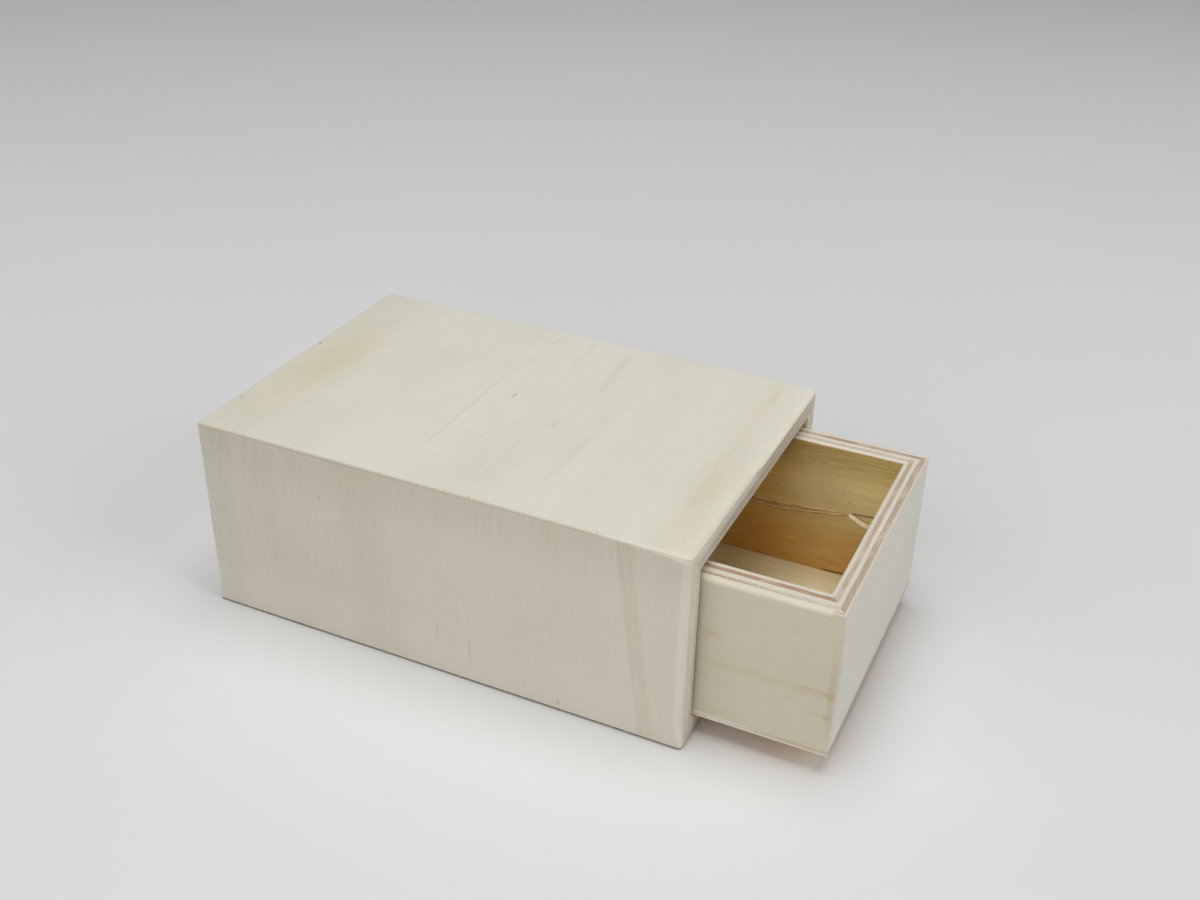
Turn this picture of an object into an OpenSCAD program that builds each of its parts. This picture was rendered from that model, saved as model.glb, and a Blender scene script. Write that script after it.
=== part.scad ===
// Small plywood box with a sliding drawer.
// Millimetres, +Z up. The origin is the centre of the case's underside.
// The case's mouth faces -Y, and the drawer slides out of it along -Y.

/* [Case] */
// Length of the case, from the mouth to the back
case_len = 132; // [100:1:180]
// Width of the case
case_w = 88; // [60:1:130]
// Height of the case
case_h = 54; // [40:1:90]
// Thickness of the case's four long panels
case_ply = 5.8; // [4:0.1:8]
// Thickness of the panel that closes the case behind the drawer
case_back_ply = 5.8; // [3:0.1:8]
// Radius of the rounded outer edges round the mouth
mouth_round = 2.6; // [1:0.1:3.5]
// Radius of the case's other outer edges
case_ease = 0.8; // [0.3:0.1:2]

/* [Drawer] */
// Thickness of the drawer's two side walls
drawer_side_ply = 6.6; // [4:0.1:8]
// Thickness of the drawer's front and back walls
drawer_end_ply = 5.1; // [4:0.1:8]
// Thickness of the board under the drawer's walls
drawer_bottom_ply = 1.6; // [1:0.1:3]
// Radius of the outer edge along the top of the drawer's walls
drawer_top_round = 1.2; // [0.5:0.1:2]
// Radius of the drawer's upright corners and lower edges
drawer_ease = 0.5; // [0.2:0.1:0.8]

/* [Fit] */
// Clearance on each side of the drawer
side_gap = 1; // [0.4:0.1:2]
// Clearance above the drawer
top_gap = 2.6; // [0.5:0.1:4]
// Clearance behind the drawer when it is closed
stop_gap = 1.2; // [0.5:0.1:3]
// How far the drawer stands out of the case
drawer_out = 32.6; // [0:0.1:80]

/* [Hidden] */

$fn = 64;

// Which side a part lies on, along X
LEFT = -1;
RIGHT = 1;

// The space inside the case, and where its two ends lie
bay_w = case_w - 2 * case_ply;
bay_h = case_h - 2 * case_ply;
mouth_y = -case_len / 2;
back_y = case_len / 2;

// The drawer is sized by the space inside the case and the clearances, and stands on case_bottom
drawer_w = bay_w - 2 * side_gap;
drawer_h = bay_h - top_gap;
drawer_len = case_len - case_back_ply - stop_gap;
drawer_front_y = mouth_y - drawer_out;
drawer_back_y = drawer_front_y + drawer_len;
drawer_z = case_ply;
wall_z = drawer_z + drawer_bottom_ply;
wall_h = drawer_h - drawer_bottom_ply;

// Half of the drawer's width outside and inside
outer_x = drawer_w / 2;
inner_x = outer_x - drawer_side_ply;

// Colours of the raw plywood
case_colour = [0.84, 0.81, 0.74];
drawer_colour = [0.80, 0.76, 0.67];
floor_colour = [0.76, 0.69, 0.56];

// Rectangle with one corner at the origin. The four radii are those of its corners, from the
// origin anticlockwise.
module rounded_rectangle(w, h, radii) {
    polygon([
        [radii[0], 0],
        [w - radii[1], 0],
        [w, radii[1]],
        [w, h - radii[2]],
        [w - radii[2], h],
        [radii[3], h],
        [0, h - radii[3]],
        [0, radii[0]]
    ]);
    translate([radii[0], radii[0]])
        circle(r = radii[0]);
    translate([w - radii[1], radii[1]])
        circle(r = radii[1]);
    translate([w - radii[2], h - radii[2]])
        circle(r = radii[2]);
    translate([radii[3], h - radii[3]])
        circle(r = radii[3]);
}

// Block with rounded edges, from the origin to [w, l, h]. Each list holds the corner radii of one
// view, anticlockwise from the corner at the origin: from the front, from the right and from above.
module sanded_block(w, l, h, front_view, right_view, top_view) {
    intersection() {
        translate([0, l, 0])
            rotate([90, 0, 0])
                linear_extrude(l)
                    rounded_rectangle(w, h, front_view);
        rotate([90, 0, 90])
            linear_extrude(w)
                rounded_rectangle(l, h, right_view);
        linear_extrude(h)
            rounded_rectangle(w, l, top_view);
    }
}

// Outside of the case as one solid. Only the edges round the mouth are well rounded.
module case_block() {
    long_edges = [case_ease, case_ease, case_ease, case_ease];
    mouth_and_back = [mouth_round, case_ease, case_ease, mouth_round];
    mouth_then_back = [mouth_round, mouth_round, case_ease, case_ease];
    translate([-case_w / 2, mouth_y, 0])
        sanded_block(case_w, case_len, case_h, long_edges, mouth_and_back, mouth_then_back);
}

// Board on z = 0 that runs the case's length, outer face down. It is outer_w wide there, and
// 45 degree mitres narrow it towards the inner face.
module mitred_board(outer_w) {
    translate([0, back_y, 0])
        rotate([90, 0, 0])
            linear_extrude(case_len)
                polygon([
                    [-outer_w / 2, 0],
                    [outer_w / 2, 0],
                    [outer_w / 2 - case_ply, case_ply],
                    [case_ply - outer_w / 2, case_ply]
                ]);
}

// Side panel of the case
module case_side(side) {
    color(case_colour)
        intersection() {
            case_block();
            translate([side * case_w / 2, 0, case_h / 2])
                rotate([0, -side * 90, 0])
                    mitred_board(case_h);
        }
}

module case_top() {
    color(case_colour)
        intersection() {
            case_block();
            translate([0, 0, case_h])
                rotate([0, 180, 0])
                    mitred_board(case_w);
        }
}

module case_bottom() {
    color(case_colour)
        intersection() {
            case_block();
            mitred_board(case_w);
        }
}

module case_left_side() {
    case_side(LEFT);
}

module case_right_side() {
    case_side(RIGHT);
}

// Panel between the other four, flush with their ends
module case_back() {
    color(case_colour)
        translate([-bay_w / 2, back_y - case_back_ply, case_ply])
            cube([bay_w, case_back_ply, bay_h]);
}

// Outside of the drawer as one solid, walls and bottom board together
module drawer_block() {
    elevation = [drawer_ease, drawer_ease, drawer_top_round, drawer_top_round];
    plan = [drawer_ease, drawer_ease, drawer_ease, drawer_ease];
    translate([-outer_x, drawer_front_y, drawer_z])
        sanded_block(drawer_w, drawer_len, drawer_h, elevation, elevation, plan);
}

// One wall of the drawer, above the bottom board, from its outline seen from above
module drawer_wall(outline) {
    color(drawer_colour)
        intersection() {
            drawer_block();
            translate([0, 0, wall_z])
                linear_extrude(wall_h)
                    polygon(outline);
        }
}

// Wall across the drawer, mitred to the sides. inner_y is where its inner face lies.
module drawer_end(outer_y, inner_y) {
    drawer_wall([
        [-outer_x, outer_y],
        [outer_x, outer_y],
        [inner_x, inner_y],
        [-inner_x, inner_y]
    ]);
}

// Wall along the drawer, mitred to the front and the back
module drawer_side(side) {
    drawer_wall([
        [side * outer_x, drawer_front_y],
        [side * outer_x, drawer_back_y],
        [side * inner_x, drawer_back_y - drawer_end_ply],
        [side * inner_x, drawer_front_y + drawer_end_ply]
    ]);
}

module drawer_front() {
    drawer_end(drawer_front_y, drawer_front_y + drawer_end_ply);
}

module drawer_back() {
    drawer_end(drawer_back_y, drawer_back_y - drawer_end_ply);
}

module drawer_left_side() {
    drawer_side(LEFT);
}

module drawer_right_side() {
    drawer_side(RIGHT);
}

// Thin board glued under the four walls
module drawer_bottom() {
    color(floor_colour)
        intersection() {
            drawer_block();
            translate([-outer_x, drawer_front_y, drawer_z])
                cube([drawer_w, drawer_len, drawer_bottom_ply]);
        }
}

case_top();
case_bottom();
case_left_side();
case_right_side();
case_back();
drawer_front();
drawer_back();
drawer_left_side();
drawer_right_side();
drawer_bottom();
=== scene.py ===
"""Looks of a small plywood box with a sliding drawer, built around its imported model.

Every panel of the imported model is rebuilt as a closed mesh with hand-sanded arrises and plies
that stand at slightly different heights on the cut edges. The finishes are solid: a point's
depth below a panel's outer face says which ply it lies in, so a rounded or worn edge shows the
plies beneath it, as on the real wood. Sizes are in millimetres until a mesh is finished.
"""
from __future__ import annotations

import logging
import math
from dataclasses import dataclass, field
from enum import Enum
from functools import partial
from typing import Callable

import bmesh
import bpy
from mathutils import Matrix, Vector, noise


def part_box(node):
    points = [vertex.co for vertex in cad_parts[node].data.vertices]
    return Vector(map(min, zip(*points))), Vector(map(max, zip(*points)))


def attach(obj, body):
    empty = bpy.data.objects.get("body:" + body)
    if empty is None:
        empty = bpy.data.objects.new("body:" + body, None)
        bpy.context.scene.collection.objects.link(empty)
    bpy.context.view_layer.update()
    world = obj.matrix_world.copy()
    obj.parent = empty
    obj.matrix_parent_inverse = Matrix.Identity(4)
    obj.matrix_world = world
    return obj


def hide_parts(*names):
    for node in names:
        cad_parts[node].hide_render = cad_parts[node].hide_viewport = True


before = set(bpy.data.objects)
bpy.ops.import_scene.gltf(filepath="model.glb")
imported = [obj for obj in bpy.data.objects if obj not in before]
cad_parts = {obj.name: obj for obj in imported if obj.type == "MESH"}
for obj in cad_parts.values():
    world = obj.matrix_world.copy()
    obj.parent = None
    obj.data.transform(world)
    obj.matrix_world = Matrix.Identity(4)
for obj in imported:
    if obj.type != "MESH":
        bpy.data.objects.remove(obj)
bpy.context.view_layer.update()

log = logging.getLogger("drawer_box")

Socket = bpy.types.NodeSocket
Warp = Callable[[Vector], Vector]
Pair = tuple[float, float]
Triple = tuple[float, float, float]

# One millimetre in metres, the unit of every finished mesh
MM = 0.001
AXES = Vector((1, 0, 0)), Vector((0, 1, 0)), Vector((0, 0, 1))
X, Y, Z = AXES
# Sockets of a Mix node: colour, vector and number
COLOUR_A, COLOUR_B, COLOUR_RESULT = 6, 7, 2
VECTOR_A, VECTOR_B, VECTOR_RESULT = 4, 5, 1
NUMBER_A, NUMBER_B = 2, 3
# Sockets of a Map Range node that takes vectors, and the setting that makes one set in softly
FROM_LOW, FROM_HIGH, TO_LOW, TO_HIGH = 7, 8, 9, 10
EASED = {"interpolation_type": "SMOOTHSTEP"}


class Body(Enum):
    """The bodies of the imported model."""

    CASE = "case"
    DRAWER = "drawer"


class Slot(Enum):
    """The record's material slots."""

    CASE = "case_plywood"
    DRAWER = "drawer_plywood"
    FLOOR = "floor_board"


def linear(code: str) -> tuple[float, float, float, float]:
    """Turns a colour into what a shader socket takes.

    Args:
        code: sRGB colour as six hex digits after a hash mark.
    Returns:
        Linear red, green and blue, and an alpha of 1.
    """
    parts = [int(code[i:i + 2], 16) / 255 for i in (1, 3, 5)]
    red, green, blue = (p / 12.92 if p <= 0.04045 else ((p + 0.055) / 1.055) ** 2.4 for p in parts)
    return red, green, blue, 1.0


def add_node(tree: bpy.types.NodeTree, kind: str, inputs: dict | None = None,
             output: int | str = 0, **settings: object) -> Socket | None:
    """Adds a shader node with its settings and links.

    Args:
        tree: the node tree that gets it.
        kind: what follows ShaderNode in Blender's name for the kind of node.
        inputs: by socket name or number, a constant or the output socket to link.
        output: name or number of the output that is wanted.
        settings: values of the node's own attributes.
    Returns:
        That output, or nothing if the node has none.
    """
    node = tree.nodes.new(f"ShaderNode{kind}")
    for name, value in settings.items():
        setattr(node, name, value)
    for key, value in (inputs or {}).items():
        if isinstance(value, Socket):
            tree.links.new(value, node.inputs[key])
        else:
            node.inputs[key].default_value = value
    return node.outputs[output] if len(node.outputs) else None


def span(value: Socket, low: float, high: float, bottom: float = 0.0, top: float = 1.0) -> dict:
    """Lists the inputs of a Map Range node that takes low and high to bottom and top."""
    return {"Value": value, "From Min": low, "From Max": high, "To Min": bottom, "To Max": top}


def smoothstep(low: float, high: float, value: float) -> float:
    """Eases from 0 at low to 1 at high."""
    t = min(1.0, max(0.0, (value - low) / (high - low)))
    return t * t * (3 - 2 * t)


def wander(p: Vector, grain: float, shift: float = 0.0) -> float:
    """Gives a smooth random value from about -1 to 1 whose swings are grain millimetres long."""
    return noise.noise(p / grain + Vector((shift, -shift, 2 * shift)))


def node_box(node: str) -> tuple[Vector, Vector]:
    """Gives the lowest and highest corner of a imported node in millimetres."""
    low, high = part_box(node)
    return Vector(low) / MM, Vector(high) / MM


def put_in_scene(name: str, data: bpy.types.ID) -> bpy.types.Object:
    """Makes an object of a mesh, a light or a camera.

    Args:
        name: name of the object.
        data: what it shows.
    Returns:
        The object, at the origin.
    """
    made = bpy.data.objects.new(name, data)
    bpy.context.scene.collection.objects.link(made)
    return made


# Wood


@dataclass(frozen=True)
class Veneer:
    """One ply: its share of the thickness, the way of its fibres and its two looks.

    Long grain is pale and even. Cut ends drink the light and show darker and warmer.
    """

    thick: float
    crosswise: bool
    long_tone: str
    end_tone: str


def crossed(*plies: tuple[float, str, str]) -> tuple[Veneer, ...]:
    """Lists veneers from the outer face inwards, every second one with its fibres crosswise."""
    return tuple(Veneer(thick, i % 2 == 1, tone, end) for i, (thick, tone, end) in enumerate(plies))


@dataclass(frozen=True)
class Mark:
    """A stain, streak, fleck or knot in a veneer, or painted light or shade on it.

    Its place is in the box's own millimetres. Its half size is along and across the grain, with
    the full tone over the core's share of each, and its reach is how deep it goes. It is turned
    by its tilt in degrees, and its ends lie bend millimetres across from a straight line.
    """

    at: Triple
    half: Pair
    tone: str
    strength: float
    tilt: float = 0.0
    bend: float = 0.0
    core: Pair = (0.3, 0.0)
    reach: float = 1.1


@dataclass(frozen=True)
class Grain:
    """A pattern in the wood.

    Its size is the length of a grain in millimetres along the fibres, across them and in depth.
    Layers adds finer ones, shift sets patterns apart, and it sets in at low and is full at high.
    One that is on_face follows the face grain in every ply.
    """

    size: Triple
    layers: float
    shift: float
    low: float = 0.0
    high: float = 1.0
    on_face: bool = False


# What runs along the grain on a face. Real poplar fibres are finer than a tenth of a millimetre:
# the silk, the flecks and the nap are drawn wide enough to show.
BANDS = Grain((150, 9, 30), 3, 0, 0.46, 0.76)
CLOUDS = Grain((45, 24, 30), 2, 5, 0.46, 0.76)
THREADS = Grain((38, 0.9, 2), 3, 12, 0.50, 0.72)
SILK = Grain((7, 0.5, 0.6), 3, 9, 0.25, 0.75)
FLECKS = Grain((2.6, 0.3, 0.4), 1, 14, 0.60, 0.78)
NAP = Grain((4, 0.35, 0.4), 3, 41)
# What shows on cut ends, with the pores drawn as wide as they need to show
SANDING_DUST = Grain((60, 7, 3), 2, 21, 0.45, 0.65)
PORES = Grain((4, 0.45, 0.35), 2, 29, 0.25, 0.75)
VOIDS = Grain((5, 0.8, 0.35), 2, 25, 0.62, 0.72)
# How marks fray, how wiped glue lies and how the borders of the plies wander
MARK_DRIFT = Grain((12, 1.4, 3), 3, 33, on_face=True)
MARK_FIBRES = Grain((9, 0.5, 0.6), 3, 37, 0.3, 0.7, on_face=True)
GLUE_SMEAR = Grain((6, 6, 6), 2, 45, 0.35, 0.65)
PLY_WAVES = Grain((9, 9, 5), 2, 61, on_face=True)
# Strength of each finer layer beside the one before, and the slants of what moves a pattern
LAYER_STRENGTH = 0.55
SEED_SLANT, SHIFT_SLANT = 0.7, 1.3
# What sets a panel's inner face and its crosswise plies apart from its outer face
INNER_SHIFT = 50.0
CROSSWISE_SHIFT = (310, 170, 0)
# How squarely a surface cuts the fibres where end grain sets in, and where it is full
CUT_FROM, CUT_FULL = 0.35, 0.85
# How far a mark drifts across the grain, the share of its depth that has the full tone, and the
# least that fibres hold of a mark and of wiped glue
DRIFT_WIDTH = 0.5
CORE_DEPTH = 0.8
LEAST_HOLD, LEAST_SMEAR = 0.55, 0.35


@dataclass(frozen=True)
class Figure:
    """How lively a veneer is: the strength and tone of what runs along its grain."""

    bands: float = 0.10
    clouds: float = 0.10
    silk: float = 0.035
    threads: float = 0.06
    flecks: float = 0.07
    voids: float = 0.35
    warm_tone: str = "#cfc09a"
    grey_tone: str = "#bdb9ac"
    dark_tone: str = "#8a6a4a"


@dataclass(frozen=True)
class Plywood:
    """Raw sanded poplar plywood, as sold for craft boxes.

    Poplar is pale and even, with fine silky fibres and few marks, and unfinished it has almost
    no gloss. The plies are listed from the outer face inwards. Air and light tint only the skin
    of a face, down to skin_full in full and no deeper than skin_end, so an edge that was sanded
    later shows paler wood.
    """

    name: str
    plies: tuple[Veneer, ...]
    outer_skin: str
    inner_skin: str
    figure: Figure = Figure()
    inner_figure: Figure = Figure()
    skin_full: float = 0.018
    skin_end: float = 0.12
    waviness: float = 0.45
    glue_tone: str = "#a08a6c"
    glue_half_width: float = 0.035
    glue_strength: float = 0.15
    seam_strength: float = 0.25
    dust_tone: str = "#d9cdbd"
    dust_strength: float = 0.5
    pore_swing: Pair = (0.86, 1.12)
    roughness: float = 0.72
    end_roughness: float = 0.85
    specular: float = 0.25
    nap_strength: float = 0.6
    nap_height: float = 0.05

    def depths(self, thickness: float) -> list[Pair]:
        """Gives where each ply starts and ends below the outer face.

        Args:
            thickness: thickness of the panel in millimetres.
        Returns:
            Start and end depth of each ply, stretched to fill the thickness.
        """
        scale = thickness / sum(ply.thick for ply in self.plies)
        found, start = [], 0.0
        for ply in self.plies:
            found.append((start, start + ply.thick * scale))
            start += ply.thick * scale
        return found

    def ply_at(self, depth: float, thickness: float) -> Veneer:
        """Gives the ply that holds a depth below the outer face."""
        held = [ply for ply, (_, end) in zip(self.plies, self.depths(thickness)) if depth <= end]
        return held[0] if held else self.plies[-1]


@dataclass(frozen=True)
class Lie:
    """How a panel lies in the box: its outer face and the way of its face grain."""

    outward: Vector
    grain: Vector
    face: float
    thickness: float

    def depth(self, p: Vector) -> float:
        """Gives how far a point in millimetres lies below the outer face."""
        return self.face - p.dot(self.outward)

    def turn(self) -> Matrix:
        """Gives the rotation from the box's frame to along the grain, across it and depth."""
        return Matrix((self.grain, (-self.outward).cross(self.grain), -self.outward))

    def board_place(self, p: Vector) -> Vector:
        """Gives a point of the box as along, across and depth."""
        return self.turn() @ p + Vector((0, 0, self.face))


# Finishes


def empty_material(name: str) -> bpy.types.Material:
    """Makes a material without nodes.

    Args:
        name: what the material really is.
    Returns:
        The material.
    """
    material = bpy.data.materials.new(name)
    material.use_nodes = True
    material.node_tree.nodes.clear()
    return material


def napped_wood(tree: bpy.types.NodeTree, colour: Socket, rough: Socket | float, specular: float,
                nap: Socket, strength: float, height: float) -> None:
    """Ends a raw wood's material with its shader.

    Args:
        tree: the material's node tree.
        colour: the finished colour.
        rough: its roughness.
        specular: its gloss, where a smooth surface has 0.5.
        nap: the fibres that stand up.
        strength: how clearly they show.
        height: how high they stand in millimetres.
    """
    normal = add_node(tree, "Bump", {"Height": nap, "Strength": strength, "Distance": height * MM})
    shader = add_node(tree, "BsdfPrincipled", {
        "Base Color": colour, "Roughness": rough, "Specular IOR Level": specular, "Normal": normal})
    add_node(tree, "OutputMaterial", {"Surface": shader})


class PlywoodMaterial:
    """Builds one panel's solid plywood: raw poplar veneers, glued crosswise and sanded by hand.

    That gives the eye a pale, nearly matt wood, silky along the grain, which is drier, warmer
    and striped by its plies where it was cut. Its place is a point in millimetres along the face
    grain, across it and in depth, and its fibres are the same along the fibres of each ply. Its
    depth lies below the outer face, and its level is the depth with the waves of the plies.
    """

    def __init__(self, panel: Panel) -> None:
        """Starts the material and finds where a point lies in the wood.

        Args:
            panel: the panel that it is for.
        """
        self.wood, self.lie, self.marks, self.seed = panel.wood, panel.lie(), panel.marks, panel.seed
        self.material = empty_material(f"{panel.wood.name}_{panel.node}")
        self.add = partial(add_node, self.material.node_tree)
        self.turn = self.lie.turn().to_euler()
        self.place = self.add("Mapping", {
            "Vector": self.add("TexCoord", output="Object"), "Scale": (1 / MM,) * 3,
            "Rotation": self.turn, "Location": (0, 0, self.lie.face)})
        self.depth = self.add("SeparateXYZ", {0: self.place}, 2)
        self.level = self.uneven_depth()
        self.crosswise = self.ply_ramp([(ply.crosswise,) * 3 + (1.0,) for ply in self.wood.plies])
        self.fibres = self.fibre_space()

    def build(self) -> bpy.types.Material:
        """Colours the wood and gives it its surface.

        Returns:
            The finished material.
        """
        wood, ends = self.wood, self.cut_ends()
        colour = self.stained(self.long_grain(), ends, self.end_grain())
        colour = self.marked(self.seamed(self.glued(colour)))
        rough = self.add("MapRange", span(ends, 0, 1, wood.roughness, wood.end_roughness), **EASED)
        napped_wood(self.material.node_tree, colour, rough, wood.specular, self.grains(NAP),
                    wood.nap_strength, wood.nap_height)
        return self.material

    def stained(self, colour: Socket, share: Socket | float, stain: Socket | str) -> Socket:
        """Lays a tone or another finished colour over part of a colour, and returns the result."""
        above = linear(stain) if isinstance(stain, str) else stain
        return self.add("Mix", {0: share, COLOUR_A: colour, COLOUR_B: above}, COLOUR_RESULT,
                        data_type="RGBA")

    def share_of(self, first: Socket, *others: Socket | float) -> Socket:
        """Multiplies a share by others, one after the other, and returns what is left."""
        for other in others:
            first = self.add("Math", {0: first, 1: other}, operation="MULTIPLY")
        return first

    def grains(self, grain: Grain, shift: float = 0.0, output: str = "Fac") -> Socket:
        """Spreads a grain through the wood.

        Args:
            grain: the pattern.
            shift: moves it, so that two faces differ.
            output: the noise's output that is wanted.
        Returns:
            The noise, from 0 to 1.
        """
        shift += grain.shift
        space = self.add("Mapping", {
            "Vector": self.place if grain.on_face else self.fibres, "Scale": [1 / s for s in grain.size],
            "Location": (self.seed + shift, SEED_SLANT * self.seed - shift, SHIFT_SLANT * shift)})
        return self.add("TexNoise", {"Vector": space, "Scale": 1.0, "Detail": grain.layers,
                                     "Roughness": LAYER_STRENGTH}, output)

    def shows(self, grain: Grain, most: float = 1.0, least: float = 0.0, shift: float = 0.0) -> Socket:
        """Finds how much of a grain shows at a point, from least to most."""
        found = span(self.grains(grain, shift), grain.low, grain.high, least, most)
        return self.add("MapRange", found, **EASED)

    def varied(self, colour: Socket, grain: Grain, swing: Pair, shift: float = 0.0) -> Socket:
        """Dims and brightens a colour along a grain, by the two factors of its swing."""
        factor = self.add("MapRange", span(self.grains(grain, shift), grain.low, grain.high, *swing))
        return self.add("Mix", {0: 1.0, COLOUR_A: colour, COLOUR_B: factor}, COLOUR_RESULT,
                        data_type="RGBA", blend_type="MULTIPLY")

    def uneven_depth(self) -> Socket:
        """Lets the borders between plies wander, as rotary cut veneers do, and returns the level."""
        swing = self.add("Math", {0: self.grains(PLY_WAVES), 1: 0.5}, operation="SUBTRACT")
        return self.add("Math", {0: swing, 1: self.wood.waviness, 2: self.depth}, operation="MULTIPLY_ADD")

    def ply_ramp(self, tones: list[tuple]) -> Socket:
        """Gives each ply a colour.

        Args:
            tones: one colour a ply, from the outer face inwards.
        Returns:
            The colour at a point's level.
        """
        thickness = self.lie.thickness
        share = self.add("Math", {0: self.level, 1: thickness}, operation="DIVIDE")
        colour = self.add("ValToRGB", {0: share}, "Color")
        ramp = colour.node.color_ramp
        ramp.interpolation = "CONSTANT"
        ramp.elements.remove(ramp.elements[-1])
        ramp.elements[0].position, ramp.elements[0].color = 0.0, tones[0]
        for tone, (start, _) in list(zip(tones, self.wood.depths(thickness)))[1:]:
            ramp.elements.new(start / thickness).color = tone
        return colour

    def fibre_space(self) -> Socket:
        """Turns a point's place so that its first axis follows the fibres of each ply."""
        turned = self.add("Mapping", {
            "Vector": self.place, "Rotation": (0, 0, math.pi / 2), "Location": CROSSWISE_SHIFT})
        return self.add("Mix", {0: self.crosswise, VECTOR_A: self.place, VECTOR_B: turned},
                        VECTOR_RESULT, data_type="VECTOR")

    def cut_ends(self) -> Socket:
        """Finds where the surface cuts across the fibres.

        Returns:
            0 on long grain and 1 on end grain.
        """
        facing = self.add("Mapping", {"Vector": self.add("TexCoord", output="Normal"),
                                      "Rotation": self.turn}, vector_type="NORMAL")
        along, across = [self.add("Math", {0: self.add("SeparateXYZ", {0: facing}, axis)},
                                  operation="ABSOLUTE") for axis in (0, 1)]
        cut = self.add("Mix", {0: self.crosswise, NUMBER_A: along, NUMBER_B: across}, data_type="FLOAT")
        return self.add("MapRange", span(cut, CUT_FROM, CUT_FULL), **EASED)

    def figured(self, colour: Socket | tuple, look: Figure, shift: float) -> Socket:
        """Lays a veneer's figure over its tone.

        Args:
            colour: the colour below.
            look: how strong each part of the figure is.
            shift: moves the figure, so that two faces differ.
        Returns:
            The colour with its figure.
        """
        for grain, strength, tone in ((BANDS, look.bands, look.warm_tone),
                                      (CLOUDS, look.clouds, look.grey_tone),
                                      (THREADS, look.threads, look.warm_tone)):
            colour = self.stained(colour, self.shows(grain, strength, shift=shift), tone)
        colour = self.varied(colour, SILK, (1 - look.silk, 1 + look.silk), shift)
        return self.stained(colour, self.shows(FLECKS, look.flecks, shift=shift), look.dark_tone)

    def long_grain(self) -> Socket:
        """Colours the wood where its fibres lie in the surface.

        Returns:
            The colour, with the tint of the skin on both faces.
        """
        wood, thickness = self.wood, self.lie.thickness
        fresh = self.ply_ramp([linear(ply.long_tone) for ply in wood.plies])
        near = span(self.depth, wood.skin_full, wood.skin_end, 1, 0)
        far = span(self.depth, thickness - wood.skin_end, thickness - wood.skin_full)
        outer = self.stained(fresh, self.add("MapRange", near, **EASED), wood.outer_skin)
        inner = self.figured(linear(wood.inner_skin), wood.inner_figure, INNER_SHIFT)
        return self.stained(self.figured(outer, wood.figure, 0), self.add("MapRange", far, **EASED), inner)

    def end_grain(self) -> Socket:
        """Colours the wood where its fibres are cut across.

        Returns:
            The colour, with sanding dust, pores and voids.
        """
        wood = self.wood
        colour = self.ply_ramp([linear(ply.end_tone) for ply in wood.plies])
        colour = self.stained(colour, self.shows(SANDING_DUST, wood.dust_strength), wood.dust_tone)
        colour = self.varied(colour, PORES, wood.pore_swing)
        return self.stained(colour, self.shows(VOIDS, wood.figure.voids), wood.figure.dark_tone)

    def marked(self, colour: Socket) -> Socket:
        """Lays the panel's marks over a colour.

        Args:
            colour: the colour below.
        Returns:
            The colour with every mark.
        """
        if not self.marks:
            return colour
        drift = self.add("VectorMath", {
            0: self.grains(MARK_DRIFT, output="Color"), 1: (0, DRIFT_WIDTH, 0),
            2: (0, -DRIFT_WIDTH / 2, 0)}, operation="MULTIPLY_ADD")
        ragged = self.add("VectorMath", {0: self.place, 1: drift}, operation="ADD")
        fibrous = self.shows(MARK_FIBRES, 1.0, LEAST_HOLD)
        for mark in self.marks:
            colour = self.stained(colour, self.mark_share(mark, ragged, fibrous), mark.tone)
        return colour

    def mark_share(self, mark: Mark, ragged: Socket, fibrous: Socket) -> Socket:
        """Finds how much of a mark shows at a point.

        Args:
            mark: the mark.
            ragged: the point's place, drifting a little across the grain.
            fibrous: how much colour the fibres hold.
        Returns:
            The mark's share of the colour.
        """
        spot = self.add("Mapping", {
            "Vector": ragged, "Location": self.lie.board_place(Vector(mark.at)),
            "Rotation": (0, 0, math.radians(mark.tilt)), "Scale": (*mark.half, mark.reach)},
            vector_type="TEXTURE")
        if mark.bend:
            along, across, depth = self.add("SeparateXYZ", {0: spot}).node.outputs
            bent = self.add("Math", {
                0: self.share_of(along, along), 1: -mark.bend / mark.half[1], 2: across},
                operation="MULTIPLY_ADD")
            spot = self.add("CombineXYZ", {0: along, 1: bent, 2: depth})
        size = self.add("VectorMath", {0: spot}, operation="ABSOLUTE")
        inside = self.add("MapRange", {
            "Vector": size, FROM_LOW: (*mark.core, CORE_DEPTH), FROM_HIGH: (1, 1, 1),
            TO_LOW: (1, 1, 1), TO_HIGH: (0, 0, 0)}, "Vector", data_type="FLOAT_VECTOR", **EASED)
        parts = self.add("SeparateXYZ", {0: inside}).node.outputs
        return self.share_of(*parts, fibrous, mark.strength)

    def glued(self, colour: Socket) -> Socket:
        """Draws the glue lines between the plies.

        Args:
            colour: the colour below.
        Returns:
            The colour with its glue lines.
        """
        wood = self.wood
        for _, end in wood.depths(self.lie.thickness)[:-1]:
            line = self.add("Math", {0: self.level, 1: end, 2: wood.glue_half_width}, operation="COMPARE")
            colour = self.stained(colour, self.share_of(line, wood.glue_strength), wood.glue_tone)
        return colour

    def seamed(self, colour: Socket) -> Socket:
        """Tans the wood along the panel's joints, where glue was wiped off.

        Args:
            colour: the colour below.
        Returns:
            The colour with its joints.
        """
        near = self.add("Attribute", output="Fac", attribute_name=SEAM)
        seam = self.add("MapRange", span(near, SEAM_TAN_FROM, 1.0), **EASED)
        share = self.share_of(seam, self.shows(GLUE_SMEAR, 1.0, LEAST_SMEAR), self.wood.seam_strength)
        return self.stained(colour, share, self.wood.glue_tone)


# Panels

# Name of the attribute that is 1 where a panel is glued to its neighbour, how far from there it
# is 0, and above which value wiped glue tans the wood
SEAM = "seam"
SEAM_REACH = 1.5
SEAM_TAN_FROM = 0.8
# How far below a face's edge its loops lie, close together where the edge is rounded
EDGE_GRADES = (0.0, 0.25, 0.55, 0.9, 1.3, 1.8, 2.4, 3.1)
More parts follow.
